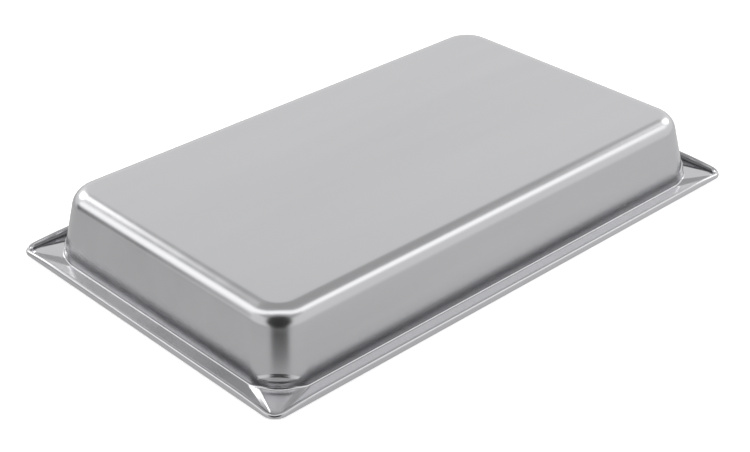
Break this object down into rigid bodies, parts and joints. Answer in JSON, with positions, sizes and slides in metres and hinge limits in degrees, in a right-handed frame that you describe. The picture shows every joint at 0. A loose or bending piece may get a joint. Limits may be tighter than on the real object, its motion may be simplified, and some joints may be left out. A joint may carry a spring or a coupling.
{
  "type": "food pan",
  "caption": "Rectangular full-size food pan pressed from one stainless sheet, with sloping walls, a flat flange, a rolled rim, corner pouring ramps and stacking lugs.",
  "frame": {"origin": "centre of the rim plane, on the surface that the upturned pan stands on", "axes": "+X along the long side, +Y along the short side, +Z from the rim towards the base; the open mouth faces -Z, and turning the pan 180 degrees about X puts it in use"},
  "size_m": [0.527, 0.324, 0.061],
  "materials": {
    "pan_steel": "satin"
  },
  "bodies": {
    "root": {"pan_shell": "pan_steel"}
  },
  "joints": []
}
